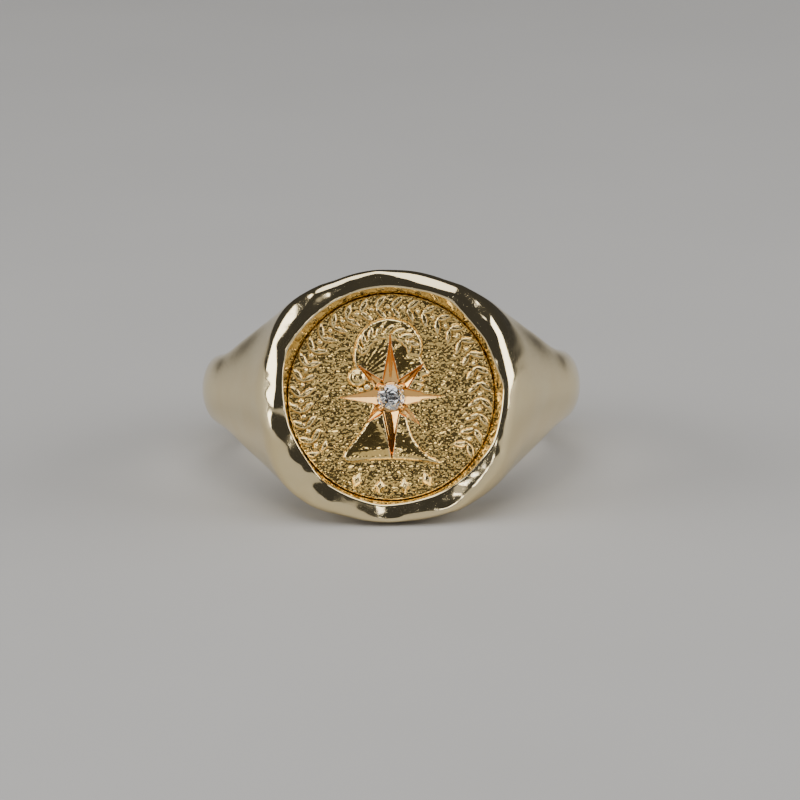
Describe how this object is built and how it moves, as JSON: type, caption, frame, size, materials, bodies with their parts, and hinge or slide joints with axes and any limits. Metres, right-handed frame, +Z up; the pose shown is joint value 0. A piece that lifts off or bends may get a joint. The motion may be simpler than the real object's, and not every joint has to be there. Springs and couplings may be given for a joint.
{
  "type": "coin ring",
  "caption": "Signet-style finger ring with a hand-carved rim that holds a round relief coin with an engraved star and a small stone; it lies on its side.",
  "frame": {"origin": "middle of the ring's bounding box in X and Y, at the height of the surface that it rests on", "axes": "+Z is up from that surface; the ring lies on its side, on the lower edge of the rim and of the band's back, so its face looks towards -Y and slightly up; X runs across the face, to the right as the face is seen"},
  "size_m": [0.0208, 0.0226, 0.0132],
  "materials": {
    "polished_gold": "polished yellow gold",
    "satin_gold": "satin yellow gold with a fine sandy grain",
    "diamond": "clear, faceted and polished"
  },
  "bodies": {
    "root": {"ring_body": "polished_gold", "coin": "satin_gold", "diamond": "diamond"}
  },
  "joints": []
}
